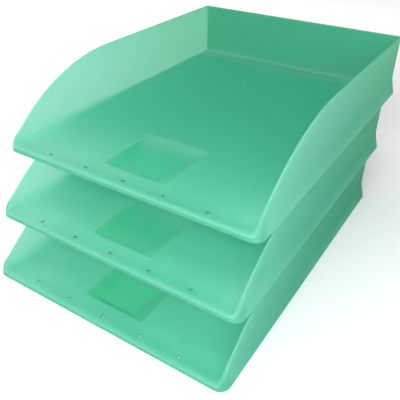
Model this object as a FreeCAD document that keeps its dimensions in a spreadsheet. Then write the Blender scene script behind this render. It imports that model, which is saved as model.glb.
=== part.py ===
import FreeCAD, Part
import math
import os

import Sketcher

# A stack of three identical moulded letter trays, each set back on the tray below it.
# Millimetres, X to the right, Y to the rear, Z up, origin at the centre of the whole stack's footprint.

# Driving dimensions of one tray and of the stack
SIZES = {
    "rim_width": 252,
    "tray_depth": 338,
    "rim_height": 64,
    "wall_thickness": 2,
    "floor_height": 6,
    "floor_thickness": 2,
    "side_splay": 5,
    "splay_height": 18,
    "splay_blend": 30,
    "foot_thickness": 2,
    "rim_clearance": 0.6,
    "lead_in": 0.8,
    "front_corner_radius": 10,
    "rear_corner_radius": 3,
    "cove_radius": 9,
    "inner_round": 2,
    "rim_bevel": 0.6,
    "lip_radius": 2,
    "sweep_start": 139,
    "cut_margin": 5,
    "recess_width": 68,
    "recess_length": 66.5,
    "recess_setback": 21.5,
    "recess_depth": 4.2,
    "recess_wall": 1.4,
    "recess_ramp": 40,
    "recess_side_slope": 14,
    "recess_front_slope": 2.5,
    "hole_size": 3.2,
    "hole_pitch": 41,
    "hole_count": 5,
    "hole_setback": 8.5,
    "middle_setback": 18.5,
    "upper_setback": 23.5,
}

# Lines that several features share, as expressions of the driving dimensions
RIM_HALF = "Sizes.rim_width / 2"
FOOT_HALF = "Sizes.rim_width / 2 + Sizes.side_splay"
PAPER_HALF = "Sizes.rim_width / 2 - Sizes.wall_thickness"
HOLLOW_HALF = "Sizes.rim_width / 2 + Sizes.rim_clearance"
HOLLOW_REAR = "Sizes.tray_depth - Sizes.foot_thickness"
HOLLOW_FRONT_RADIUS = "Sizes.front_corner_radius - Sizes.foot_thickness"
HOLLOW_REAR_RADIUS = "Sizes.rear_corner_radius - Sizes.foot_thickness"
UNDERSIDE = "Sizes.floor_height - Sizes.floor_thickness"
PAPER_REAR = "Sizes.tray_depth - Sizes.wall_thickness"
ABOVE_RIM = "Sizes.rim_height + Sizes.cut_margin"
NEST_PITCH = "Sizes.rim_height - Sizes.floor_height + Sizes.floor_thickness"
STACK_DEPTH = "Sizes.tray_depth + Sizes.middle_setback + Sizes.upper_setback"

# Right-hand side of the outer section, from the foot up to the rim
OUTER_SIDE = [
    (FOOT_HALF, "0"),
    (RIM_HALF, "Sizes.splay_height"),
    (RIM_HALF, "Sizes.rim_height"),
]

# Each tray with its place in the stack: set back from the lowest tray, and pitches above it
TRAYS = {
    "lower_tray": ("0", "0"),
    "middle_tray": ("Sizes.middle_setback", "1"),
    "upper_tray": ("Sizes.middle_setback + Sizes.upper_setback", "2"),
}

# How a sketch numbers its axes and the points of its lines and arcs
H_AXIS, V_AXIS = range(-1, -3, -1)
START, END, CENTRE = range(1, 4)
QUARTER = math.pi / 2
NEAR = 1e-4


def make_sheet(doc):
    """Writes the driving dimensions into a sheet, one aliased cell each."""
    sheet = doc.addObject("Spreadsheet::Sheet", "Sizes")
    for row, (alias, size) in enumerate(SIZES.items(), start=1):
        sheet.set(f"A{row}", alias)
        sheet.set(f"B{row}", str(size))
        sheet.setAlias(f"B{row}", alias)
    doc.recompute()
    return sheet


def value(body, expression):
    """Returns the number that an expression stands for."""
    return float(body.Document.Sizes.evalExpression(expression))


def attach(body, feature, role):
    """Sets a feature on one of the body's own planes."""
    plane = next(item for item in body.Origin.OriginFeatures if item.Role == role)
    feature.AttachmentSupport = [(plane, "")]
    feature.MapMode = "FlatFace"


def add_sketch(body, name, role, offset=None):
    """Adds a sketch on one of the body's own planes, moved along the normal of that plane."""
    sketch = body.newObject("Sketcher::SketchObject", f"{body.Label}_{name}")
    attach(body, sketch, role)
    if offset:
        sketch.setExpression("AttachmentOffset.Base.z", offset)
    return sketch


def bind(sketch, kind, *refs, to):
    """Adds a dimension to a sketch and ties it to an expression."""
    index = sketch.addConstraint(Sketcher.Constraint(kind, *refs, sketch.Document.Sizes.evalExpression(to)))
    sketch.setExpression(f"Constraints[{index}]", to)


def place(sketch, geometry, point, x=None, y=None):
    """Ties a point of a sketch to expressions for its distances from the axes."""
    if x:
        bind(sketch, "DistanceX", H_AXIS, START, geometry, point, to=x)
    if y:
        bind(sketch, "DistanceY", H_AXIS, START, geometry, point, to=y)


def draw_rectangle(body, sketch, half, low, high, low_radius=None, high_radius=None):
    """Draws a rectangle about the upright axis, its low and high corners rounded where a radius is given."""
    right = value(body, half)
    bottom = value(body, low) if low else 0.0
    top = value(body, high)
    radii = [low_radius, high_radius, high_radius, low_radius]
    sizes = [value(body, radius) if radius else 0.0 for radius in radii]
    corners = [(right, bottom), (right, top), (-right, top), (-right, bottom)]
    inward = [(-1, 1), (-1, -1), (1, -1), (1, 1)]
    centres = [
        FreeCAD.Vector(x + dx * size, y + dy * size, 0)
        for (x, y), (dx, dy), size in zip(corners, inward, sizes)
    ]
    angles = [(turn - 1) * QUARTER for turn in range(4)]

    # Sides run round from the low one, side i ending at corner i
    for i in range(4):
        start = centres[i - 1] + FreeCAD.Vector(math.cos(angles[i]), math.sin(angles[i]), 0) * sizes[i - 1]
        end = centres[i] + FreeCAD.Vector(math.cos(angles[i]), math.sin(angles[i]), 0) * sizes[i]
        sketch.addGeometry(Part.LineSegment(start, end))
        sketch.addConstraint(Sketcher.Constraint("Vertical" if i % 2 else "Horizontal", i))
    for i, radius in enumerate(radii):
        following = (i + 1) % 4
        if not radius:
            sketch.addConstraint(Sketcher.Constraint("Coincident", i, END, following, START))
            continue
        circle = Part.Circle(centres[i], FreeCAD.Vector(0, 0, 1), sizes[i])
        arc = sketch.addGeometry(Part.ArcOfCircle(circle, angles[i], angles[i] + QUARTER))
        sketch.addConstraint(Sketcher.Constraint("Tangent", i, END, arc, START))
        sketch.addConstraint(Sketcher.Constraint("Tangent", arc, END, following, START))
        bind(sketch, "Radius", arc, to=radius)

    place(sketch, 1, START, x=half)
    place(sketch, 3, START, x=f"-({half})")
    place(sketch, 2, START, y=high)
    if low:
        place(sketch, 0, START, y=low)
    else:
        sketch.addConstraint(Sketcher.Constraint("PointOnObject", 0, START, H_AXIS))


def plan(body, name, height, half, front, rear, front_radius=None, rear_radius=None):
    """Draws a rectangle seen from above at a height."""
    sketch = add_sketch(body, name, "XY_Plane", height)
    draw_rectangle(body, sketch, half, front, rear, front_radius, rear_radius)
    return sketch


def pocket_through(body, name, sketch):
    """Cuts a sketch through the tray both ways."""
    feature = body.newObject("PartDesign::Pocket", f"{body.Label}_{name}")
    feature.Profile = sketch
    feature.Type = "ThroughAll"
    feature.Midplane = True
    body.Document.recompute()
    return feature


def dress(body, kind, name, size, chosen):
    """Rounds or chamfers the edges of the tray so far whose bounding boxes are chosen."""
    base = body.Tip
    edges = [f"Edge{i}" for i, edge in enumerate(base.Shape.Edges, start=1) if chosen(edge.BoundBox)]
    feature = body.newObject(f"PartDesign::{kind}", f"{body.Label}_{name}")
    feature.Base = (base, edges)
    feature.setExpression("Radius" if kind == "Fillet" else "Size", size)
    body.Document.recompute()


def draw_outline(body, sketch, corners):
    """Draws a closed outline through corners given as pairs of expressions."""
    points = [FreeCAD.Vector(value(body, x), value(body, y), 0) for x, y in corners]
    for i, point in enumerate(points):
        sketch.addGeometry(Part.LineSegment(point, points[(i + 1) % len(points)]))
    for i, (x, y) in enumerate(corners):
        sketch.addConstraint(Sketcher.Constraint("Coincident", i, END, (i + 1) % len(points), START))
        place(sketch, i, START, x, y)


def add_shell(body):
    """Carries the outer section, splayed at the foot, from the front to the rear and rounds it in plan."""
    section = add_sketch(body, "outer_section", "XZ_Plane")
    left = [(f"-({half})", height) for half, height in OUTER_SIDE]
    draw_outline(body, section, OUTER_SIDE + left[::-1])
    pad = body.newObject("PartDesign::Pad", f"{body.Label}_outer_block")
    pad.Profile = section
    pad.Reversed = True
    pad.setExpression("Length", "Sizes.tray_depth")
    body.Document.recompute()
    splay = value(body, "Sizes.splay_height")
    dress(
        body,
        "Fillet",
        "splay_blend",
        "Sizes.splay_blend",
        lambda box: abs(box.ZMin - splay) < NEAR and abs(box.ZMax - splay) < NEAR and box.YLength > NEAR,
    )
    for end, at in (("front", 0), ("rear", value(body, "Sizes.tray_depth"))):
        dress(
            body,
            "Fillet",
            f"{end}_corners",
            f"Sizes.{end}_corner_radius",
            lambda box, y=at: abs(box.YMin - y) < NEAR and abs(box.YMax - y) < NEAR and box.ZLength > NEAR,
        )


def add_paper_space(body):
    """Hollows the tray from the open front to the rear wall, with a cove along each side wall."""
    section = add_sketch(body, "paper_section", "XZ_Plane")
    draw_rectangle(body, section, PAPER_HALF, "Sizes.floor_height", ABOVE_RIM, "Sizes.cove_radius")
    paper_space = body.newObject("PartDesign::Pocket", f"{body.Label}_paper_space")
    paper_space.Profile = section
    paper_space.setExpression("Length", PAPER_REAR)
    body.Document.recompute()


def round_rear_inside(body):
    """Rounds the inner edge between the rear wall and the floor and side walls."""
    rear = value(body, PAPER_REAR)
    rim = value(body, "Sizes.rim_height")
    dress(
        body,
        "Fillet",
        "inner_rear_round",
        "Sizes.inner_round",
        lambda box: abs(box.YMin - rear) < NEAR and abs(box.YMax - rear) < NEAR and box.ZMin < rim - NEAR,
    )


def bevel_rim(body):
    """Eases both edges of the rim, along the sides, the sweep and the rear."""
    rim = value(body, "Sizes.rim_height")
    dress(body, "Chamfer", "rim_bevel", "Sizes.rim_bevel", lambda box: box.ZMin > rim - NEAR)


def sweep_rim(body):
    """Cuts the rim down in one large arc to the rounded front lip."""
    rim = value(body, "Sizes.rim_height")
    start = value(body, "Sizes.sweep_start")
    lip = value(body, "Sizes.lip_radius")
    low = value(body, "Sizes.floor_height")
    margin = value(body, "Sizes.cut_margin")
    run, drop = start - lip, rim - low
    radius = (run ** 2 + drop ** 2) / (2 * drop)
    normal = FreeCAD.Vector(0, 0, 1)
    above, under = rim + margin, low - lip
    corners = [(start, rim), (start, above), (-margin, above), (-margin, under), (0, under)]
    points = [FreeCAD.Vector(y, z, 0) for y, z in corners]

    sketch = add_sketch(body, "rim_sweep_profile", "YZ_Plane")
    for first, last in zip(points, points[1:]):
        sketch.addGeometry(Part.LineSegment(first, last))
    lip_circle = Part.Circle(FreeCAD.Vector(lip, under, 0), normal, lip)
    lip_arc = sketch.addGeometry(Part.ArcOfCircle(lip_circle, QUARTER, 2 * QUARTER))
    rim_circle = Part.Circle(FreeCAD.Vector(start, rim - radius, 0), normal, radius)
    rim_arc = sketch.addGeometry(Part.ArcOfCircle(rim_circle, QUARTER, QUARTER + math.asin(run / radius)))
    for kind, *refs in (
        ("Coincident", 0, END, 1, START),
        ("Coincident", 1, END, 2, START),
        ("Coincident", 2, END, 3, START),
        ("Coincident", 3, END, lip_arc, END),
        ("Coincident", lip_arc, START, rim_arc, END),
        ("Coincident", rim_arc, START, 0, START),
        ("Vertical", 0),
        ("Horizontal", 1),
        ("Vertical", 2),
        ("Horizontal", 3),
        ("Horizontal", lip_arc, CENTRE, lip_arc, END),
        ("Vertical", lip_arc, CENTRE, lip_arc, START),
        ("Vertical", rim_arc, CENTRE, rim_arc, START),
        ("PointOnObject", lip_arc, END, V_AXIS),
    ):
        sketch.addConstraint(Sketcher.Constraint(kind, *refs))
    bind(sketch, "Radius", lip_arc, to="Sizes.lip_radius")
    place(sketch, lip_arc, START, y="Sizes.floor_height")
    place(sketch, rim_arc, START, x="Sizes.sweep_start", y="Sizes.rim_height")
    place(sketch, 2, START, x="-Sizes.cut_margin", y=ABOVE_RIM)
    pocket_through(body, "rim_sweep", sketch)


def add_hollow_foot(body):
    """Hollows the underside so that the foot drops over the rim of the tray below, and eases its edge."""
    radii = (HOLLOW_FRONT_RADIUS, HOLLOW_REAR_RADIUS)
    outline = plan(body, "hollow_outline", None, HOLLOW_HALF, "Sizes.foot_thickness", HOLLOW_REAR, *radii)
    hollow = body.newObject("PartDesign::Pocket", f"{body.Label}_hollow_foot")
    hollow.Profile = outline
    hollow.Reversed = True
    hollow.setExpression("Length", UNDERSIDE)
    body.Document.recompute()
    half = value(body, HOLLOW_HALF)
    rear = value(body, HOLLOW_REAR)

    def round_the_mouth(box):
        """Tells whether an edge is one of those round the mouth of the hollow."""
        across = max(-box.XMin, box.XMax) < half + NEAR
        along = box.YMin > NEAR and box.YMax < rear + NEAR
        return box.ZMax < NEAR and across and along

    dress(body, "Chamfer", "hollow_lead_in", "Sizes.lead_in", round_the_mouth)


def add_wedge(body, kind, name, top, deep):
    """Adds or takes away a block between a level rectangle and a deeper, smaller one."""
    feature = body.newObject(f"PartDesign::{kind}Wedge", f"{body.Label}_{name}")
    attach(body, feature, "XZ_Plane")
    for mark, (height, half, front, rear) in (("2", top), ("", deep)):
        feature.setExpression("Ymax" if mark else "Ymin", height)
        feature.setExpression(f"X{mark}min", f"-({half})")
        feature.setExpression(f"X{mark}max", half)
        feature.setExpression(f"Z{mark}min", f"-({rear})")
        feature.setExpression(f"Z{mark}max", f"-({front})")
    body.Document.recompute()


def add_finger_recess(body):
    """Forms the finger recess: a boss under the floor, then the ramped scoop cut into it from above."""
    half = "Sizes.recess_width / 2"
    front = "Sizes.recess_setback"
    rear = f"{front} + Sizes.recess_length"
    top = "Sizes.floor_height"
    deep = f"{top} - Sizes.recess_depth"
    deep_half = f"{half} - Sizes.recess_side_slope"
    deep_front = f"{front} + Sizes.recess_front_slope"
    deep_rear = f"{rear} - Sizes.recess_ramp"
    wall = "Sizes.recess_wall"
    add_wedge(
        body,
        "Additive",
        "recess_boss",
        (f"{top} - {wall}", half, f"{front} - {wall}", rear),
        (f"{deep} - {wall}", deep_half, f"{deep_front} - {wall}", deep_rear),
    )
    add_wedge(
        body,
        "Subtractive",
        "finger_recess",
        (top, half, front, rear),
        (deep, deep_half, deep_front, deep_rear),
    )


def add_floor_holes(body):
    """Cuts the row of square holes along the front of the floor."""
    left = "-(Sizes.hole_count - 1) / 2 * Sizes.hole_pitch - Sizes.hole_size / 2"
    right = f"{left} + Sizes.hole_size"
    front = "Sizes.hole_setback - Sizes.hole_size / 2"
    rear = f"{front} + Sizes.hole_size"
    sketch = add_sketch(body, "hole_outline", "XY_Plane", UNDERSIDE)
    draw_outline(body, sketch, [(left, front), (right, front), (right, rear), (left, rear)])
    first_hole = pocket_through(body, "first_hole", sketch)
    row = body.newObject("PartDesign::LinearPattern", f"{body.Label}_hole_row")
    row.Originals = [first_hole]
    row.Direction = (sketch, ["H_Axis"])
    row.setExpression("Occurrences", "Sizes.hole_count")
    row.setExpression("Length", "Sizes.hole_pitch * (Sizes.hole_count - 1)")
    body.Tip = row
    body.Document.recompute()


def make_tray(doc, label, setback, level):
    """Builds one tray and sets it in its place in the stack."""
    body = doc.addObject("PartDesign::Body", label)
    body.Label = label
    doc.recompute()
    add_shell(body)
    add_paper_space(body)
    round_rear_inside(body)
    sweep_rim(body)
    bevel_rim(body)
    add_hollow_foot(body)
    add_finger_recess(body)
    add_floor_holes(body)
    body.setExpression("Placement.Base.y", f"{setback} - ({STACK_DEPTH}) / 2")
    body.setExpression("Placement.Base.z", f"{level} * ({NEST_PITCH})")
    return body


def export(doc, bodies):
    """Checks every object and writes each tray to its own file."""
    doc.recompute()
    for item in doc.Objects:
        if "Invalid" in item.State or "Error" in item.State:
            raise RuntimeError(f"{item.Label} did not build: {item.State}")
    os.makedirs("parts", exist_ok=True)
    for body in bodies:
        shape = body.Shape
        if shape.isNull() or not shape.isValid() or len(shape.Solids) != 1:
            raise RuntimeError(f"{body.Label} is not one sound solid")
        shape.exportStep(f"parts/{body.Label}.step")


document = FreeCAD.newDocument("letter_tray_stack")
make_sheet(document)
export(document, [make_tray(document, label, *where) for label, where in TRAYS.items()])
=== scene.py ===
import logging
import math
from dataclasses import dataclass, field
from enum import Enum
from typing import Any

import bmesh
import bpy
import numpy as np
from mathutils import Matrix, Vector


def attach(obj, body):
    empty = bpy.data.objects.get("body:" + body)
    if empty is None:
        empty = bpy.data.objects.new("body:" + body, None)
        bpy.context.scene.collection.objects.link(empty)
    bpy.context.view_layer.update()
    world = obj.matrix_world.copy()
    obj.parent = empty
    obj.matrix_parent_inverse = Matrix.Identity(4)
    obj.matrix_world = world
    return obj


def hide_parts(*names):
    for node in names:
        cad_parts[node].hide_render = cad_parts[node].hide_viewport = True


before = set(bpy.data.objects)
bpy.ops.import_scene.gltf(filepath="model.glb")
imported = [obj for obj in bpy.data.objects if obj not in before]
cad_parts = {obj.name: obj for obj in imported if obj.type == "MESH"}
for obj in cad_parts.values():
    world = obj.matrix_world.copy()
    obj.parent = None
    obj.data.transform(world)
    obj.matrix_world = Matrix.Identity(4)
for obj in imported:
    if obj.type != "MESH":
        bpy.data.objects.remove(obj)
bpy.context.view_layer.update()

# Three identical moulded letter trays, each set back on the rim of the tray below it.
# Shapes are worked out in millimetres in a tray's own frame: x across, y from the front edge
# to the rear, z up from the foot. They are moved to their place in the stack, in metres.

LOG = logging.getLogger("letter_trays")
MM = 0.001
# Mesh attributes that paint light and shade into the plastic's colour
PAINTED_LIGHT = "painted_light_tone"
PAINTED_SHADE_GREEN = "painted_shade_green_tone"
PAINTED_SHADE_DARK = "painted_shade_dark_tone"


class Place(Enum):
    """A tray's place in the stack: its node, its set-back in mm and its level."""

    LOWER = ("lower_tray", 0.0, 0)
    MIDDLE = ("middle_tray", 18.5, 1)
    UPPER = ("upper_tray", 42.0, 2)

    def __init__(self, node: str, setback: float, level: int) -> None:
        """Keeps the parts of the place under plain names.

        Args:
            node: Name of the tray's node and body.
            setback: Distance of its front edge behind the lowest tray's, in mm.
            level: Number of trays below it.
        """
        self.node = node
        self.setback = setback
        self.level = level


def linear(code: str) -> tuple[float, float, float, float]:
    """Turns an sRGB hex colour into the linear colour that shaders take.

    Args:
        code: Colour as "#RRGGBB".

    Returns:
        Red, green, blue and an alpha of one, linear.
    """
    channels = np.array([int(code[i:i + 2], 16) for i in (1, 3, 5)]) / 255.0
    low = channels / 12.92
    high = ((channels + 0.055) / 1.055) ** 2.4
    red, green, blue = np.where(channels <= 0.04045, low, high)
    return float(red), float(green), float(blue), 1.0


def add_node(tree: bpy.types.NodeTree, kind: str, settings: dict[str, Any] | None = None,
             **inputs: Any) -> bpy.types.Node:
    """Adds a node, sets its properties, and fills or links its inputs.

    Args:
        tree: Node tree that gets the node.
        kind: Blender's name of the node type.
        settings: Properties of the node itself.
        inputs: Values or output sockets by input name, with _ for a space. A name that ends in
            a number goes by the input's place.

    Returns:
        The new node.
    """
    node = tree.nodes.new(kind)
    for name, value in (settings or {}).items():
        setattr(node, name, value)
    for name, value in inputs.items():
        place = name.rsplit("_", 1)[-1]
        socket = node.inputs[int(place)] if place.isdigit() else node.inputs[name.replace("_", " ")]
        if isinstance(value, bpy.types.NodeSocket):
            tree.links.new(value, socket)
        else:
            socket.default_value = value
    return node


@dataclass(frozen=True)
class MintPolystyrene:
    """Translucent mint polystyrene, injection moulded in a finely textured mould.

    The eye gets a milky green that glows where light comes through a single wall, a satin gloss,
    and faint rub marks along the floor where paper is pushed in. Painted into its colour are
    highlights and a sheen, pale lines on the lip, round the recess and the holes and at the foot of
    the rear wall, and shade, a richer green in the recess and up the walls towards the rear, a
    darker green in the holes, on the front faces and at the rear.
    """

    name: str = "moulded_translucent_mint_polystyrene"
    deep: str = "#4ED2B0"
    pale: str = "#5ADABA"
    # Colour of the painted shade in a richer green
    shade_green: str = "#2CCA9C"
    # Colour of the painted highlights and sheen
    edge: str = "#D8F6EE"
    # Colour of the painted shade in a darker green
    shade_dark: str = "#2A9E7C"
    inside: str = "#D8F3EC"
    # Colours let through where shade is painted in a richer and in a darker green
    inside_shade_green: str = "#CAF2E2"
    inside_shade_dark: str = "#6CC6A8"
    through: float = 0.65
    ior: float = 1.59
    roughness: tuple[float, float] = (0.3, 0.4)
    cloud_size: float = 70.0
    smudge_size: float = 28.0
    # The mould's real grit of about 0.05 mm can't show, so it is drawn this coarse
    grit_size: float = 0.9
    grit_depth: float = 0.02
    grit_strength: float = 0.25
    rub_spacing: float = 1.6
    rub_length: float = 90.0
    rub_share: float = 0.35
    gloss_range: tuple[float, float] = (0.4, 0.95)

    def build(self) -> bpy.types.Material:
        """Makes the material.

        Returns:
            The material, patterned on Object coordinates, with light and shade painted in from the
            attributes of the mesh.
        """
        material = bpy.data.materials.new(self.name)
        material.use_nodes = True
        tree = material.node_tree
        tree.nodes.clear()
        place = add_node(tree, "ShaderNodeTexCoord").outputs["Object"]

        # Slow clouds from the flow of the melt, then the light and shade painted in by the mesh's
        # attributes
        mix = {"data_type": "RGBA"}
        cloud = add_node(tree, "ShaderNodeTexNoise", Vector=place, Scale=1 / (self.cloud_size * MM),
                         Detail=2.0)
        body = add_node(tree, "ShaderNodeMix", mix, Factor_0=cloud.outputs["Fac"],
                        A_6=linear(self.deep), B_7=linear(self.pale)).outputs[2]
        inner = linear(self.inside)
        tones = (
            (PAINTED_SHADE_GREEN, self.shade_green, self.inside_shade_green),
            (PAINTED_SHADE_DARK, self.shade_dark, self.inside_shade_dark),
            (PAINTED_LIGHT, self.edge, self.inside),
        )
        for name, face_tone, inner_tone in tones:
            share = add_node(tree, "ShaderNodeAttribute", {"attribute_name": name}).outputs["Fac"]
            body = add_node(tree, "ShaderNodeMix", mix, Factor_0=share, A_6=body,
                            B_7=linear(face_tone)).outputs[2]
            inner = add_node(tree, "ShaderNodeMix", mix, Factor_0=share, A_6=inner,
                             B_7=linear(inner_tone)).outputs[2]

        # Satin gloss with broad smudges, and rub marks drawn out along the tray
        smudge = add_node(tree, "ShaderNodeTexNoise", Vector=place, Scale=1 / (self.smudge_size * MM),
                          Detail=3.0)
        across, along = 1 / (self.rub_spacing * MM), 1 / (self.rub_length * MM)
        drawn_out = add_node(tree, "ShaderNodeMapping", Vector=place, Scale=(across, along, along))
        rub = add_node(tree, "ShaderNodeTexNoise", Vector=drawn_out.outputs["Vector"], Scale=1.0,
                       Detail=2.0)
        mixed = add_node(tree, "ShaderNodeMath", {"operation": "MULTIPLY_ADD"},
                         Value_0=rub.outputs["Fac"], Value_1=self.rub_share, Value_2=smudge.outputs["Fac"])
        satin = add_node(tree, "ShaderNodeMapRange", Value=mixed.outputs["Value"],
                         From_Min=self.gloss_range[0], From_Max=self.gloss_range[1],
                         To_Min=self.roughness[0], To_Max=self.roughness[1])

        # Fine grit of the mould
        grit = add_node(tree, "ShaderNodeTexNoise", Vector=place, Scale=1 / (self.grit_size * MM),
                        Detail=2.0)
        bump = add_node(tree, "ShaderNodeBump", Height=grit.outputs["Fac"], Strength=self.grit_strength,
                        Distance=self.grit_depth * MM)

        # What the face sends back, and what comes through from behind it
        face = add_node(tree, "ShaderNodeBsdfPrincipled", Base_Color=body, IOR=self.ior,
                        Roughness=satin.outputs["Result"], Normal=bump.outputs["Normal"])
        behind = add_node(tree, "ShaderNodeBsdfTranslucent", Color=inner, Normal=bump.outputs["Normal"])
        wall = add_node(tree, "ShaderNodeMixShader", Fac_0=self.through, Shader_1=face.outputs["BSDF"],
                        Shader_2=behind.outputs["BSDF"])
        add_node(tree, "ShaderNodeOutputMaterial", Surface=wall.outputs["Shader"])
        return material


@dataclass(frozen=True)
class PaleFloorPaint:
    """Matt white studio floor, rolled, and lit from below like a light table.

    The eye gets an even, pale ground with a hardly visible unevenness. It is brighter away from
    the stack, so that the background is as white as the photograph's.
    """

    name: str = "rolled_white_studio_floor"
    shade: str = "#F8F8F8"
    light: str = "#FCFCFC"
    roughness: float = 0.9
    glow: tuple[float, float] = (0.12, 0.64)
    glow_reach: tuple[float, float] = (0.4, 0.95)
    patch_size: float = 400.0

    def build(self) -> bpy.types.Material:
        """Makes the material.

        Returns:
            The floor's material.
        """
        material = bpy.data.materials.new(self.name)
        material.use_nodes = True
        tree = material.node_tree
        tree.nodes.clear()
        place = add_node(tree, "ShaderNodeTexCoord").outputs["Object"]
        patch = add_node(tree, "ShaderNodeTexNoise", Vector=place, Scale=1 / (self.patch_size * MM),
                         Detail=1.0)
        colour = add_node(tree, "ShaderNodeMix", {"data_type": "RGBA"}, Factor_0=patch.outputs["Fac"],
                          A_6=linear(self.shade), B_7=linear(self.light))
        away = add_node(tree, "ShaderNodeVectorMath", {"operation": "LENGTH"}, Vector_0=place)
        glow = add_node(tree, "ShaderNodeMapRange", Value=away.outputs["Value"],
                        From_Min=self.glow_reach[0], From_Max=self.glow_reach[1],
                        To_Min=self.glow[0], To_Max=self.glow[1])
        shader = add_node(tree, "ShaderNodeBsdfPrincipled", Base_Color=colour.outputs[2],
                          Roughness=self.roughness, Emission_Color=colour.outputs[2],
                          Emission_Strength=glow.outputs["Result"])
        add_node(tree, "ShaderNodeOutputMaterial", Surface=shader.outputs["BSDF"])
        return material


def quarter(count: int) -> np.ndarray:
    """Angles of a quarter turn.

    Args:
        count: Number of steps.

    Returns:
        The count + 1 angles from zero to a right angle, in equal steps.
    """
    return np.linspace(0.0, math.pi / 2, count + 1)


def root(values: np.ndarray) -> np.ndarray:
    """Square root that is zero where its argument is negative."""
    return np.sqrt(np.maximum(values, 0.0))


def ease(values: np.ndarray, low: float, high: float) -> np.ndarray:
    """Smooth step from zero at low to one at high, 3t² - 2t³ of the clamped share t."""
    share = np.clip((values - low) / (high - low), 0.0, 1.0)
    return share * share * (3.0 - 2.0 * share)


def fade(values: np.ndarray, low: float, high: float) -> np.ndarray:
    """Smooth step from one at low to zero at high."""
    return 1.0 - ease(values, low, high)


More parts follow.
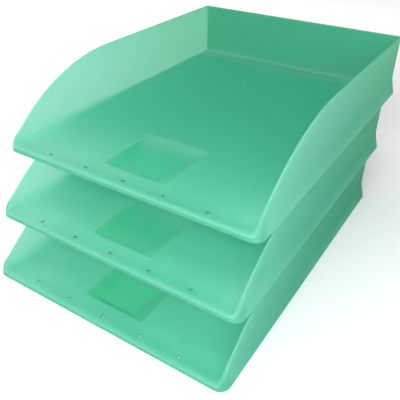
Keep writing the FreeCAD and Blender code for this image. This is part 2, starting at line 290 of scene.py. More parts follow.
@dataclass
class TrayShape:
    """The moulded form of one tray, as sections across the tray carried from front to rear.

    A section is two chains of points from the middle of the floor outwards. The upper chain goes
    along the floor, up the cove and the inner wall, over the rim and down the outer wall to the
    foot. The lower chain goes along the underside, down the wall of the hollow foot and along the
    ring that the tray stands on. The row of sections climbs the front face, crosses the lip,
    runs to the rear, climbs the rear wall, crosses its rim and goes down the rear face, so that
    both chains meet at the foot at either end and the surface closes. Three tones at each point
    paint into the plastic's colour the light and shade it shows in the photograph: highlights and a
    sheen, shade in a richer green and shade in a darker green.
    """

    half_width: float = 126.0
    depth: float = 338.0
    rim: float = 64.0
    wall: float = 2.0
    floor: float = 6.0
    underside: float = 4.0
    splay: float = 5.0
    splay_height: float = 18.0
    splay_blend: float = 4.0
    foot_wall: float = 2.0
    foot_clearance: float = 0.6
    lead_in: float = 0.8
    front_radius: float = 10.0
    rear_radius: float = 3.0
    inner_radius: float = 2.0
    cove_lip: float = 3.0
    cove_front: float = 10.0
    cove_rear: float = 2.6
    cove_grown: float = 45.0
    cove_taper: float = 190.0
    lip: float = 2.0
    rim_round: float = 0.6
    rim_round_rise: float = 4.0
    corner_round: float = 1.6
    corner_round_span: tuple[float, float] = (4.0, 24.0)
    foot_round: float = 0.4
    sweep_start: float = 139.0
    recess_half: float = 34.0
    recess_front: float = 21.5
    recess_rear: float = 88.0
    recess_depth: float = 4.2
    recess_wall: float = 1.4
    recess_side_run: float = 14.0
    recess_front_run: float = 2.5
    recess_ramp_run: float = 40.0
    recess_blend: float = 0.3
    hole_half: float = 1.6
    hole_ease: float = 0.35
    hole_y: float = 8.5
    hole_pitch: float = 41.0
    hole_count: int = 5

    # Painted light and shade, and the spans in mm over which they come and go
    line_span: tuple[float, float] = (0.3, 1.0)
    floor_span: float = 0.6
    lip_line: float = 4.6
    lip_pale: float = 0.22
    lip_span: tuple[float, float] = (0.3, 0.8)
    hole_pale: float = 0.45
    hole_rise: float = 0.3
    hole_fall: float = 0.4
    hole_reach: float = 1.0
    rear_pale: float = 0.22
    sheen_pale: float = 0.2
    sheen_depth: tuple[float, float] = (10.0, 100.0)
    sheen_width: tuple[float, float] = (-60.0, 100.0)
    recess_pale: float = 0.28
    recess_soft: float = 0.8
    recess_crease: float = 0.12
    ramp_pale: float = 0.14
    ramp_pale_span: tuple[float, float] = (2.0, 26.0)
    ramp_rich_span: tuple[float, float] = (0.0, 30.0)
    front_pale: float = 0.3
    front_pale_half: float = 0.9
    front_pale_reach: float = 2.0
    front_pale_ends: tuple[float, float] = (8.0, 3.0)
    recess_flat_rich: float = 0.62
    recess_left_rich: float = 1.0
    recess_right_rich: float = 0.6
    wall_rich_span: tuple[float, float] = (40.0, 300.0)
    wall_rich_rise: float = 8.0
    face_dull: float = 0.36
    face_dull_span: tuple[float, float] = (6.0, 18.0)
    rear_dull: float = 0.25
    rear_strip: float = 23.5
    rear_strip_soft: float = 3.0

    # Steps of the grid
    flat_half: float = 106.0
    column_gap: float = 6.0
    column_room: float = 2.2
    slope_columns: int = 9
    section_room: float = 0.5
    ramp_sections: int = 24
    sweep_sections: int = 40
    level_sections: int = 22
    lip_steps: int = 9
    corner_steps: int = 10
    rear_steps: int = 6
    strip_steps: int = 4
    cove_steps: int = 8
    wall_steps: int = 10
    round_steps: int = 4
    land_steps: int = 3
    outer_low_steps: int = 12
    outer_high_steps: int = 6
    columns: np.ndarray = field(init=False)
    y: np.ndarray = field(init=False)
    inner_step: np.ndarray = field(init=False)
    outer_step: np.ndarray = field(init=False)
    sole: np.ndarray = field(init=False)

    def __post_init__(self) -> None:
        """Lays out the columns across the floor and the row of sections."""
        self.columns = self.lay_columns()
        self.lay_sections()

    @property
    def inner_last(self) -> int:
        """Number of steps from the foot of the cove to the rim."""
        return self.cove_steps + self.wall_steps + self.round_steps

    @property
    def outer_last(self) -> int:
        """Number of steps from the rim down to the foot."""
        return 2 * self.round_steps + self.outer_low_steps + self.outer_high_steps

    def lay_columns(self) -> np.ndarray:
        """Places the columns across the flat of the floor.

        Returns:
            Ascending x of the columns from the middle to the edge of the flat, with lines on
            the edges of the holes and of the recess.
        """
        middles = self.hole_pitch * np.arange(self.hole_count // 2 + 1)
        edges = self.hole_half + np.array([-self.hole_half, 0.0, self.hole_ease, self.hole_reach])
        holes = np.abs(middles[:, None] + np.concatenate([-edges, edges])[None, :]).ravel()
        slope = np.linspace(self.recess_half - self.recess_side_run, self.recess_half, self.slope_columns)
        blend = np.array([-1.0, -0.3, 0.3, 1.0]) + np.array([[self.recess_half], [slope[0]]])
        fill = np.arange(0.0, self.flat_half + 1.0, self.column_gap)
        own = np.concatenate([holes, slope, blend.ravel(), [self.flat_half]])
        far = np.abs(fill[:, None] - own[None, :]).min(axis=1) > self.column_room
        return np.unique(np.round(np.concatenate([own, fill[far]]), 4))

    def lay_sections(self) -> None:
        """Sets each section's y, how far its chains are gathered in, and the height of its sole.

        A section on the front face, the rear wall or the rear face has the first points of a
        chain gathered at one step of the chain, which moves on from section to section.
        """
        low_edge = self.outer_last - self.round_steps
        foot_y = self.foot_round * (1 - np.cos(quarter(self.round_steps)))
        face = np.arange(low_edge, self.round_steps - 1, -1)
        lip_arc = self.lip * (1 - np.cos(quarter(self.lip_steps)))
        lip_y = np.unique(np.append(lip_arc[1:-1], self.foot_wall - self.lead_in))
        corner = self.front_radius - (self.front_radius - self.lip) * np.cos(quarter(self.corner_steps))
        hole_edges = self.hole_half + np.array([0.0, self.hole_ease, self.hole_reach])
        # Sections on both sides of each edge, so that its round and its tone are drawn
        marks = np.concatenate([
            self.hole_y - hole_edges,
            self.hole_y + hole_edges,
            self.recess_front + np.array([-1.0, -0.3, 0.0, 0.3, 0.8, 1.2]),
            self.recess_front + self.recess_front_run + np.array([-0.2, 0.2]),
            self.recess_rear + np.array([-1.2, -0.3, 0.3, 1.0]),
        ])
        ramp = np.linspace(self.recess_front + 4.0, self.recess_rear + 6.0, self.ramp_sections)
        sweep = np.linspace(self.front_radius + 2.0, self.sweep_start, self.sweep_sections)
        rear_foot = self.depth - self.wall - self.inner_radius
        level = np.linspace(self.sweep_start + 6.0, rear_foot - 4.0, self.level_sections)
        rear_round = self.depth - self.wall - self.inner_radius * (1 - np.sin(quarter(self.rear_steps)))
        own = np.concatenate([corner, marks, rear_round])
        fill = np.concatenate([ramp, sweep, level])
        far = np.abs(fill[:, None] - own[None, :]).min(axis=1) > self.section_room
        run = np.unique(np.round(np.concatenate([own, fill[far]]), 4))

        rim_in = self.rim_round * (1 - np.cos(quarter(self.round_steps)))[1:]
        rim_out = self.rim_round * (1 - np.sin(quarter(self.round_steps)))
        wall_top = self.inner_last - self.round_steps
        rear_in = self.depth - self.wall
        climb = np.arange(1, wall_top + 1)
        descent = np.arange(self.round_steps + 1, low_edge + 1)
        gathered, none = self.inner_last, 0

        rows = [
            (foot_y[::-1], gathered, np.arange(self.outer_last, low_edge - 1, -1), 0.0),
            (np.zeros(len(face) - 1), gathered, face[1:], 0.0),
            (lip_y, gathered, none, np.maximum(lip_y - self.foot_wall + self.lead_in, 0.0)),
            (run[:1], none, none, self.lead_in),
            (run, none, none, self.underside),
            (np.full(len(climb), rear_in), climb, none, self.underside),
            (rear_in + rim_in, wall_top + np.arange(1, self.round_steps + 1), none, self.lead_in),
            (self.depth - rim_out, gathered, np.arange(self.round_steps + 1), 0.0),
            (np.full(len(descent), self.depth), gathered, descent, 0.0),
            (self.depth - foot_y[1:], gathered, np.arange(low_edge + 1, self.outer_last + 1), 0.0),
        ]
        self.y = np.concatenate([row[0] for row in rows])
        self.inner_step, self.outer_step, self.sole = (
            np.concatenate([np.broadcast_to(row[i], np.shape(row[0])) for row in rows]) for i in (1, 2, 3)
        )

    def crest(self, y: np.ndarray) -> np.ndarray:
        """Height of the rim: level at the rear, one large arc down to the lip, the lip's own arc.

        Args:
            y: Distances from the front edge.

        Returns:
            The heights.
        """
        run, drop = self.sweep_start - self.lip, self.rim - self.floor
        radius = (run ** 2 + drop ** 2) / (2 * drop)
        sweep = self.rim - radius + np.sqrt(radius ** 2 - np.clip(self.sweep_start - y, 0.0, run) ** 2)
        lip = self.floor - self.lip + root(self.lip ** 2 - (self.lip - y) ** 2)
        return np.where(y < self.lip, lip, sweep)

    def outer_half(self, z: np.ndarray) -> np.ndarray:
        """Half width of the outer wall: upright above, splayed below, with a round between.

        Args:
            z: Heights.

        Returns:
            The half widths. Near the crease the two straight lines are joined by a parabola.
        """
        share = (self.splay_height - z) / self.splay_blend
        joined = np.where(np.abs(share) < 1, (share + 1) ** 2 / 4, np.maximum(share, 0.0))
        return self.half_width + self.splay * joined * self.splay_blend / self.splay_height

    def recess(self, x: np.ndarray, y: np.ndarray) -> np.ndarray:
        """Depth of the finger recess: the least of four slopes and the flat, eased at its edge.

        Args:
            x: Distances from the middle.
            y: Distances from the front edge.

        Returns:
            The depths below the floor.
        """
        slopes = [
            np.full(np.broadcast(x, y).shape, self.recess_depth),
            (self.recess_half - np.abs(x)) * self.recess_depth / self.recess_side_run + 0.0 * y,
            (y - self.recess_front) * self.recess_depth / self.recess_front_run + 0.0 * x,
            (self.recess_rear - y) * self.recess_depth / self.recess_ramp_run + 0.0 * x,
        ]
        softness = self.recess_blend
        least = slopes[0]
        for slope in slopes[1:]:
            mixing = np.maximum(softness - np.abs(least - slope), 0.0) / softness
            least = np.minimum(least, slope) - mixing ** 2 * softness / 4
        eased = (least + softness) ** 2 / (4 * softness)
        return np.where(least > softness, least, np.where(least > -softness, eased, 0.0))

    def recess_outside(self, x: np.ndarray, y: np.ndarray) -> np.ndarray:
        """Distance outside the recess's outline, square at its corners and negative inside."""
        along = np.maximum(self.recess_front - y, y - self.recess_rear)
        return np.maximum(np.abs(x) - self.recess_half, along)

    def hole_outside(self, x: np.ndarray, y: np.ndarray) -> np.ndarray:
        """Distance outside the nearest square hole of the row.

        Args:
            x: Distances from the middle.
            y: Distances from the front edge.

        Returns:
            The distances, negative inside a hole.
        """
        last = self.hole_count // 2
        nearest = self.hole_pitch * np.clip(np.round(x / self.hole_pitch), -last, last)
        return np.maximum(np.abs(x - nearest), np.abs(y - self.hole_y)) - self.hole_half

    def hole_dip(self, x: np.ndarray, y: np.ndarray) -> np.ndarray:
        """How far the floor dips at the eased edges of the square holes.

        Args:
            x: Distances from the middle.
            y: Distances from the front edge.

        Returns:
            The dips, a parabola over the ease outside each hole.
        """
        return self.hole_ease * np.clip(1 - self.hole_outside(x, y) / self.hole_ease, 0.0, 1.0) ** 2

    def inner_chain(self) -> tuple[np.ndarray, np.ndarray]:
        """Cove, inner wall and inner round of the rim, section by section.

        The cove is an arc whose radius grows behind the lip and falls again to the rear, cut off
        where the rim is lower. Towards the rear wall the whole chain moves in by the rounding of
        the corner.

        Returns:
            x and z of the chain's points, one row per section.
        """
        y = self.y[:, None]
        reach = np.maximum(y - (self.depth - self.wall - self.inner_radius), 0.0)
        moved = self.inner_radius - root(self.inner_radius ** 2 - reach ** 2)
        side = self.half_width - self.wall
        grown = self.cove_lip + (self.cove_front - self.cove_lip) * ease(y, self.lip, self.cove_grown)
        cove = grown + (self.cove_rear - grown) * ease(y, self.cove_grown, self.cove_taper)
        rise = np.maximum(self.crest(y) - self.floor, 0.0)
        bevel = self.rim_round * ease(rise, 0.0, self.rim_round_rise)
        radius = cove - moved
        end = np.arccos(np.clip(1 - np.maximum(rise - bevel - moved, 0.0) / radius, 0.0, 1.0))
        turn = end * np.linspace(0.0, 1.0, self.cove_steps + 1)
        cove_x = side - cove + radius * np.sin(turn)
        cove_z = self.floor + cove - radius * np.cos(turn)
        cove_z = np.minimum(cove_z, np.maximum(self.crest(y), self.floor))

        climb = np.linspace(0.0, 1.0, self.wall_steps + 1)[1:]
        top = np.maximum(self.crest(y) - bevel, cove_z[:, -1:])
        wall_z = cove_z[:, -1:] + (top - cove_z[:, -1:]) * climb
        wall_x = np.broadcast_to(cove_x[:, -1:], wall_z.shape)

        angle = quarter(self.round_steps)[1:]
        offset = bevel * (1 - np.cos(angle))
        turned = self.inner_radius + offset
        corner = root(turned ** 2 - np.minimum(reach, turned) ** 2)
        straight = cove_x[:, -1:] + offset
        round_x = np.where(reach > 0, side - self.inner_radius + corner, straight)
        round_z = top + np.maximum(self.crest(y) - top, 0.0) * np.sin(angle)
        return np.hstack([cove_x, wall_x, round_x]), np.hstack([cove_z, wall_z, round_z])

    def outer_chain(self) -> tuple[np.ndarray, np.ndarray, np.ndarray]:
        """Outer round of the rim, outer wall and round of the foot, section by section.

        A point that lies o inside the wall's face is at half width - R + sqrt((R - o)² - d²) in a
        corner of radius R, where d is the section's distance past the corner's centre.

        Returns:
            x, y and z of the chain's points, one row per section.
        """
        y = self.y[:, None]
        crest = self.crest(y)
        front, rear = y < self.front_radius, y > self.depth - self.rear_radius
        radius = np.where(rear, self.rear_radius, self.front_radius)
        past_rear = np.where(rear, y - self.depth + self.rear_radius, 0.0)
        past = np.where(front, self.front_radius - y, past_rear)

        # The rim's round is softer at the front corners
        soft = self.rim_round + fade(y, *self.corner_round_span)
        soft = np.minimum(np.minimum(y, self.corner_round), soft)
        angle = quarter(self.round_steps)
        rim_off = soft * (1 - np.sin(angle))
        rim_z = crest - soft * (1 - np.cos(angle))
        knee = np.minimum(self.splay_height + 2 * self.splay_blend, crest - soft)
        high = np.linspace(0.0, 1.0, self.outer_high_steps + 1)[1:]
        high_z = crest - soft + (knee - crest + soft) * high
        low = np.linspace(0.0, 1.0, self.outer_low_steps + 1)[1:]
        low_z = knee + (self.foot_round - knee) * low
        foot_off = self.foot_round * (1 - np.cos(angle[1:]))
        foot_z = self.foot_round * (1 - np.sin(angle[1:]))

        rows = len(self.y)
        z = np.hstack([rim_z, high_z, low_z, np.broadcast_to(foot_z, (rows, len(foot_z)))])
        walls = np.zeros((rows, self.outer_high_steps + self.outer_low_steps))
        off = np.hstack([rim_off, walls, np.broadcast_to(foot_off, (rows, len(foot_off)))])
        x = self.outer_half(z) - radius + root((radius - off) ** 2 - past ** 2)
        along = np.where(front, np.maximum(y, off), np.minimum(y, self.depth - off))
        return x, along, z

    def upper_chain(self) -> np.ndarray:
        """Joins floor, inner chain, the land of the rim and outer chain into the upper chain.

        Returns:
            Points by section and step, from the middle outwards.
        """
        rows = np.arange(len(self.y))[:, None]
        inner_x, inner_z = self.inner_chain()
        outer_x, outer_y, outer_z = self.outer_chain()
        inner_at = np.maximum(np.arange(self.inner_last + 1)[None, :], self.inner_step[:, None])
        outer_at = np.maximum(np.arange(self.outer_last + 1)[None, :], self.outer_step[:, None])
        inner_x, inner_z = inner_x[rows, inner_at], inner_z[rows, inner_at]
        outer_x, outer_y, outer_z = (part[rows, outer_at] for part in (outer_x, outer_y, outer_z))

        # On the front lip, the rear rim and both end faces, all that lies inside is level
        level = (self.inner_step == self.inner_last)[:, None]
        inner_y = np.where(level, outer_y[:, :1], self.y[:, None]) + 0.0 * inner_x
        inner_z = np.where(level, outer_z[:, :1], inner_z)
        inner_x = np.where(level, np.minimum(inner_x, outer_x[:, :1]), inner_x)

        share = np.linspace(0.0, 1.0, self.strip_steps + 1)[1:-1]
        strip_x = self.flat_half + (inner_x[:, :1] - self.flat_half) * share
        flat_x = np.hstack([np.broadcast_to(self.columns, (len(self.y), len(self.columns))), strip_x])
        flat_y = np.broadcast_to(inner_y[:, :1], flat_x.shape)
        sunk = self.recess(flat_x, flat_y) + self.hole_dip(flat_x, flat_y)
        flat_z = inner_z[:, :1] - np.where((self.inner_step == 0)[:, None], sunk, 0.0)

        land = np.linspace(0.0, 1.0, self.land_steps + 1)[1:-1]
        land_x, land_y, land_z = (
            inner[:, -1:] + (outer[:, :1] - inner[:, -1:]) * land
            for inner, outer in ((inner_x, outer_x), (inner_y, outer_y), (inner_z, outer_z))
        )
        return np.stack([
            np.hstack([flat_x, inner_x, land_x, outer_x]),
            np.hstack([flat_y, inner_y, land_y, outer_y]),
            np.hstack([flat_z, inner_z, land_z, outer_z]),
        ], axis=-1)

    def lower_chain(self, upper: np.ndarray) -> np.ndarray:
        """Underside, hollow foot and standing ring, step by step below the upper chain.

        The hollow is a rounded rectangle. Its half width past a corner's centre by d is the
        centre's plus sqrt(R² - d²), and its lead-in is the same outline with R larger by the
        lead-in.

        Args:
            upper: Points of the upper chain.

        Returns:
            Points by section and step, as many as the upper chain has.
        """
        steps = upper.shape[1]
        bare = len(self.columns) + self.strip_steps - 1
        under = bare + self.inner_last + 1
        half = self.half_width + self.foot_clearance
        front, rear = self.front_radius - self.foot_wall, self.rear_radius - self.foot_wall
        first_ring = self.foot_wall - self.lead_in
        y = np.clip(self.y, self.foot_round, None)
        inside_rear = self.depth - self.foot_wall
        at_wall = np.where(self.sole > 0, inside_rear, inside_rear + self.lead_in)
        y = np.where(self.y > inside_rear, at_wall, y)
        ahead = np.maximum(self.front_radius - y, 0.0)
        behind = np.maximum(y - self.depth + self.rear_radius, 0.0)
        radius = np.where(ahead > 0, front, rear)
        past = np.maximum(ahead, behind)
        hollow = np.where(past > 0, half - radius + root(radius ** 2 - past ** 2), half)
        mouth_radius = radius + self.lead_in
        mouth = np.where(past > 0, half - radius + root(mouth_radius ** 2 - past ** 2), half + self.lead_in)
        edge = np.minimum(self.sole, self.lead_in)

        share = np.linspace(0.0, 1.0, under - len(self.columns) + 1)[1:]
        strip = self.flat_half + (hollow[:, None] - self.flat_half) * share
        ring = np.linspace(0.0, 1.0, steps - under - 1)
        last = upper[:, -1]
        ring_x = mouth[:, None] + (last[:, :1] - mouth[:, None]) * ring
        ring_y = y[:, None] + (last[:, 1:2] - y[:, None]) * ring
        flat = np.broadcast_to(self.columns, (len(y), len(self.columns)))
        x = np.hstack([flat, strip, hollow[:, None], ring_x])
        along = np.hstack([np.broadcast_to(y[:, None], (len(y), under + 1)), ring_y])
        boss = np.maximum(self.recess(x, along) + self.recess_wall - self.floor + self.underside, 0.0)
        boss = np.where((self.sole == self.underside)[:, None], boss, 0.0)
        z = np.hstack([self.sole[:, None] - boss[:, :under], edge[:, None], np.zeros_like(ring_x)])
        lower = np.stack([x, along, z], axis=-1)

        # Both ends close on the upper chain
        at_front = self.y <= self.foot_round
        at_rear = (self.outer_step > 0) & (self.y > first_ring)
        lower[at_front] = upper[0]
        lower[at_rear] = upper[-1]
        return lower

    def arrays(self) -> tuple[np.ndarray, np.ndarray]:
        """Works out the whole tray: both chains, mirrored about the middle, with the holes cut.

        Returns:
            Points, and corner indices of the four-sided faces.
        """
        upper = self.upper_chain()
        lower = self.lower_chain(upper)
        right = np.stack([upper, lower])
        left = right[:, :, :0:-1] * np.array([-1.0, 1.0, 1.0])
        points = np.concatenate([left, right], axis=2)
        sides, sections, steps = points.shape[:3]

        index = np.arange(points[..., 0].size).reshape(sides, sections, steps)
        corners = [index[:, :-1, :-1], index[:, :-1, 1:], index[:, 1:, 1:], index[:, 1:, :-1]]
        faces = np.stack(corners, axis=-1)
        faces[1] = faces[1][..., ::-1]
        middle = points[0, :-1, :-1] * 0.5 + points[0, 1:, 1:] * 0.5
        in_hole = self.hole_outside(middle[..., 0], middle[..., 1]) < 0.0
        cut = in_hole & (self.inner_step[:-1] == 0)[:, None]
        walls = self.hole_walls(cut, index)
        faces = np.concatenate([faces[:, ~cut].reshape(-1, 4), walls])
        return points.reshape(-1, 3), faces

    def side_slope(self, x: np.ndarray, y: np.ndarray) -> np.ndarray:
        """Tells the side slopes of the recess from its rear ramp and its flat.

        Args:
            x: Distances from the middle.
            y: Distances from the front edge.

        Returns:
            One on the side slopes, zero elsewhere in the recess, eased across the crease.
        """
        to_side = (self.recess_half - np.abs(x)) / self.recess_side_run
        to_rear = np.minimum((self.recess_rear - y) / self.recess_ramp_run, 1.0)
        return ease(to_rear - to_side, 0.0, self.recess_crease)

    def painted_light_tone(self, points: np.ndarray) -> np.ndarray:
        """How much painted light the plastic's colour gets.

        Painted highlights lie on the lip, round the recess and the holes and along the foot of the
        rear wall, a painted sheen at the front left of the floor, and painted light on the ramp and the
        front slope of the recess.

        Args:
            points: Points of the tray.

        Returns:
            The tone of each point, from zero to one.
        """
        x, y, z = points.T
        # Painted highlight lines on the lip, round the recess, round the holes and at the foot of the rear
        # wall
        up_lip = np.where(y < self.lip, np.abs(z - self.lip_line), self.lip)
        on_lip = self.lip_pale * fade(up_lip, *self.lip_span)

        outside = self.recess_outside(x, y)
        on_edge = self.recess_pale * fade(np.abs(outside), *self.line_span)
        hole = self.hole_outside(x, y)
        round_hole = ease(hole, 0.0, self.hole_rise) * fade(hole, self.hole_fall, self.hole_reach)
        on_hole = self.hole_pale * round_hole
        rear_line = self.depth - self.wall - self.inner_radius
        on_rear = self.rear_pale * fade(np.abs(y - rear_line), *self.line_span)
        # Painted sheen, a pale reflection on the front left of the floor
        front_left_sheen = self.sheen_pale * fade(y, *self.sheen_depth) * ease(-x, *self.sheen_width)
        on_floor = np.maximum.reduce([on_edge, on_hole, on_rear, front_left_sheen])
        on_floor = np.where(np.abs(z - self.floor) < self.floor_span, on_floor, 0.0)

        # Painted light on the ramp and the front slope of the recess
        up_ramp = fade(self.recess_rear - y, *self.ramp_pale_span) * (1.0 - self.side_slope(x, y))
        on_ramp = self.ramp_pale * ease(-outside, 0.0, self.recess_soft) * up_ramp
        inner_end, outer_end = (self.recess_half - end for end in self.front_pale_ends)
        down_front = np.abs(y - self.recess_front - self.front_pale_half)
        slope = fade(down_front, self.front_pale_half, self.front_pale_reach)
        on_front = self.front_pale * fade(np.abs(x), inner_end, outer_end) * slope
        return np.maximum.reduce([on_lip, on_floor, on_ramp, on_front])

    def painted_shade_green_tone(self, points: np.ndarray) -> np.ndarray:
        """How much painted shade in a richer green the plastic's colour gets: in the recess, most on its
        left slope, and up the rear walls.

        Args:
            points: Points of the tray.

        Returns:
            The tone of each point, from zero to one.
        """
        x, y, z = points.T
        inside = ease(-self.recess_outside(x, y), 0.0, self.recess_soft)
        up_ramp = ease(self.recess_rear - y, *self.ramp_rich_span)
        # The left slope of the recess takes more painted shade than the right one
        side = np.where(x < 0.0, self.recess_left_rich, self.recess_right_rich) - self.recess_flat_rich
        in_recess = inside * up_ramp * (self.recess_flat_rich + side * self.side_slope(x, y))
        in_recess = np.where((z < self.floor + 0.1) & (z > 0.1), in_recess, 0.0)
        # Painted shade up the walls, growing towards the rear
        up_wall = ease(z, self.floor, self.floor + self.wall_rich_rise)
        return np.maximum(in_recess, up_wall * ease(y, *self.wall_rich_span))

    def painted_shade_dark_tone(self, points: np.ndarray) -> np.ndarray:
        """How much painted shade in a darker green the plastic's colour gets: most in the holes, a little
        on the front face and at the rear.

        Args:
            points: Points of the tray.

        Returns:
            The tone of each point, from zero to one.
        """
        x, y, z = points.T
        # Painted shade in the holes
        at_hole = (self.hole_outside(x, y) < 0.01) & (z > 0.5) & (z < self.floor + 0.1)
        # Painted shade on the front face and the front corners
        low = fade(z, self.floor - self.lip, self.lip_line)
        beside = ease(np.abs(x), self.half_width - self.wall, self.half_width)
        on_face = self.face_dull * np.maximum(low, beside) * fade(y, *self.face_dull_span)
        inner_face = self.depth - self.wall
        up_rear = ease(y, inner_face - 1.0, inner_face)
        # Painted shade on the floor strip past the rear of the tray below, and up the rear wall
        strip = self.depth - self.rear_strip
        on_strip = ease(y, strip - self.rear_strip_soft, strip + self.rear_strip_soft)
        on_rear = self.rear_dull * np.where(z < self.floor + 1.0, on_strip, up_rear)
        return np.where(at_hole, 1.0, np.maximum(on_face, on_rear))

    @staticmethod
    def hole_walls(cut: np.ndarray, index: np.ndarray) -> np.ndarray:
        """Walls of the holes, between the edges of the cut in the upper and the lower chain.

        An edge of the grid bounds a hole where one of the two cells beside it is cut.

        Args:
            cut: Cells that are cut away, by section and step.
            index: Numbers of the points by chain, section and step.

        Returns:
            Corner indices of the walls' faces.
        """
        padded = np.pad(cut, 1).astype(int)
        found = []
        for axis in (0, 1):
            change = np.diff(padded, axis=axis)
            change = change[:, 1:-1] if axis == 0 else change[1:-1]
            for sign in (1, -1):
                row, step = np.nonzero(change == sign)
                far = (row, step + 1) if axis == 0 else (row + 1, step)
                start, end = ((row, step), far) if (sign > 0) == (axis == 0) else (far, (row, step))
                wall = [index[0][start], index[0][end], index[1][end], index[1][start]]
                found.append(np.stack(wall, axis=-1))
        return np.concatenate(found)


@dataclass
class LetterTray:
    """One tray of the stack, in its place."""

    place: Place
    shape: TrayShape
    stack_depth: float = 380.0
    pitch: float = 60.0
    merge_within: float = 1e-6
    sharp_angle: float = 38.0

    def build(self) -> bpy.types.Object:
        """Makes the tray's mesh in its place and closes its seams.

        Returns:
            The tray's object, at the origin, with its place in its mesh.
        """
        points, faces = self.shape.arrays()
        offset = np.array([0.0, self.place.setback - self.stack_depth / 2, self.place.level * self.pitch])
        mesh = bpy.data.meshes.new(f"{self.place.node}_moulding")
        mesh.from_pydata(((points + offset) * MM).tolist(), [], faces.tolist())
        # Painted light and shade for the material, point by point
        tones = {
            PAINTED_LIGHT: self.shape.painted_light_tone(points),
            PAINTED_SHADE_GREEN: self.shape.painted_shade_green_tone(points),
            PAINTED_SHADE_DARK: self.shape.painted_shade_dark_tone(points),
        }
        for name, values in tones.items():
            attribute = mesh.attributes.new(name, "FLOAT", "POINT")
            attribute.data.foreach_set("value", values.astype(np.float32))
        work = bmesh.new()
        work.from_mesh(mesh)
        bmesh.ops.remove_doubles(work, verts=work.verts, dist=self.merge_within)
        bmesh.ops.dissolve_degenerate(work, edges=work.edges, dist=self.merge_within)
        work.to_mesh(mesh)
        work.free()
        mesh.shade_smooth()
        mesh.set_sharp_from_angle(angle=math.radians(self.sharp_angle))
        tray = bpy.data.objects.new(mesh.name, mesh)
        bpy.context.scene.collection.objects.link(tray)
        return tray

    def dress(self, tray: bpy.types.Object, plastic: bpy.types.Material) -> None:
        """Gives the tray its plastic, flattens its shading and sets it on its body.

        Args:
            tray: The tray's object.
            plastic: The material of the moulding.
        """
        tray.data.materials.append(plastic)
        flat = tray.modifiers.new("flat_faces", "WEIGHTED_NORMAL")
        flat.keep_sharp = True
        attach(tray, self.place.node)
        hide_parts(self.place.node)


@dataclass(frozen=True)
class Panel:
    """A square soft light: where it hangs, what it faces and its side, in metres, and its watts."""

    name: str
    place: tuple[float, float, float]
    aim: tuple[float, float, float]
    size: float
    power: float

    def hang(self) -> None:
        """Adds the light to the scene."""
        data = bpy.data.lights.new(self.name, "AREA")
        data.energy = self.power
        data.size = self.size
        lamp = bpy.data.objects.new(self.name, data)
        lamp.location = self.place
        lamp.rotation_euler = (Vector(self.aim) - Vector(self.place)).to_track_quat("-Z", "Y").to_euler()
        bpy.context.scene.collection.objects.link(lamp)


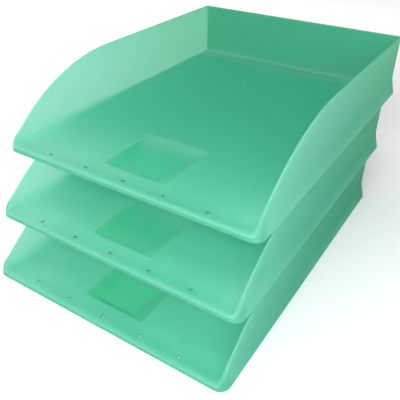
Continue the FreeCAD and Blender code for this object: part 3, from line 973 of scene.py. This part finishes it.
@dataclass
class Studio:
    """The plain pale floor, the soft light and the camera."""

    floor_half: float = 6.0
    floor_lines: int = 5
    floor_drop: float = 0.0002
    sky: str = "#FFFFFF"
    sky_light: float = 0.1
    sky_seen: float = 0.9
    panels: tuple[Panel, ...] = (
        Panel("left_low_panel", (-0.8, -0.1, 0.14), (0.0, 0.0, 0.1), 0.4, 2.9),
        Panel("front_panel", (0.3, -1.0, 0.75), (0.0, 0.0, 0.08), 0.5, 10.0),
        Panel("near_right_panel", (0.8, -0.65, 0.6), (0.0, 0.0, 0.08), 0.5, 2.2),
        Panel("far_right_panel", (1.2, -1.2, 1.0), (0.0, 0.0, 0.08), 1.0, 8.5),
        Panel("top_panel", (-0.1, -0.2, 1.1), (0.0, 0.0, 0.08), 0.6, 3.8),
        Panel("left_high_panel", (-1.3, 0.5, 1.3), (0.0, 0.0, 0.08), 0.8, 5.8),
    )
    eye: tuple[float, float, float] = (0.24664, -0.40826, 0.34820)
    azimuth: float = 32.531
    elevation: float = 33.837
    roll: float = 0.371
    lens: float = 46.34
    sensor: float = 36.0
    clip_start: float = 0.01

    def build_floor(self, paint: bpy.types.Material) -> bpy.types.Object:
        """Makes the floor, a square grid level with the foot of the stack.

        Args:
            paint: The floor's material.

        Returns:
            The floor's object.
        """
        line = np.linspace(-self.floor_half, self.floor_half, self.floor_lines)
        x, y = np.meshgrid(line, line, indexing="ij")
        points = np.stack([x, y, np.full_like(x, -self.floor_drop)], axis=-1).reshape(-1, 3)
        index = np.arange(x.size).reshape(x.shape)
        corners = [index[:-1, :-1], index[1:, :-1], index[1:, 1:], index[:-1, 1:]]
        faces = np.stack(corners, axis=-1).reshape(-1, 4)
        mesh = bpy.data.meshes.new("studio_floor")
        mesh.from_pydata(points.tolist(), [], faces.tolist())
        mesh.materials.append(paint)
        floor = bpy.data.objects.new(mesh.name, mesh)
        bpy.context.scene.collection.objects.link(floor)
        return floor

    def light(self) -> None:
        """Sets an even sky, white where it is seen and faint as a light, and the soft panels."""
        world = bpy.data.worlds.new("studio_sky")
        world.use_nodes = True
        tree = world.node_tree
        tree.nodes.clear()
        seen = add_node(tree, "ShaderNodeLightPath").outputs["Is Camera Ray"]
        strength = add_node(tree, "ShaderNodeMapRange", Value=seen, To_Min=self.sky_light,
                            To_Max=self.sky_seen).outputs["Result"]
        sky = add_node(tree, "ShaderNodeBackground", Color=linear(self.sky), Strength=strength)
        add_node(tree, "ShaderNodeOutputWorld", Surface=sky.outputs["Background"])
        bpy.context.scene.world = world
        for panel in self.panels:
            panel.hang()
        view = bpy.context.scene.view_settings
        view.view_transform = "Standard"

    def aim_camera(self) -> None:
        """Sets the camera where the photograph was taken, with its small tilt."""
        turn, tip = math.radians(self.azimuth), math.radians(self.elevation)
        ahead = Vector((-math.sin(turn) * math.cos(tip), math.cos(turn) * math.cos(tip), -math.sin(tip)))
        right = ahead.cross(Vector((0.0, 0.0, 1.0))).normalized()
        right.rotate(Matrix.Rotation(math.radians(-self.roll), 3, ahead))
        up = right.cross(ahead)
        data = bpy.data.cameras.new("camera")
        data.sensor_width = self.sensor
        data.lens = self.lens
        data.clip_start = self.clip_start
        camera = bpy.data.objects.new("camera", data)
        turned = Matrix((right, up, -ahead)).transposed().to_4x4()
        camera.matrix_world = Matrix.Translation(self.eye) @ turned
        bpy.context.scene.collection.objects.link(camera)
        bpy.context.scene.camera = camera


def main() -> None:
    """Builds and dresses the trays, then the studio round them."""
    logging.basicConfig(level=logging.INFO, format="%(message)s")
    studio = Studio()
    studio.aim_camera()
    studio.light()
    studio.build_floor(PaleFloorPaint().build())
    plastic = MintPolystyrene().build()
    shape = TrayShape()
    for place in Place:
        part = LetterTray(place, shape)
        tray = part.build()
        part.dress(tray, plastic)
        LOG.info("%s: %d faces on %s", tray.name, len(tray.data.polygons), place.node)


if __name__ == "__main__":
    main()
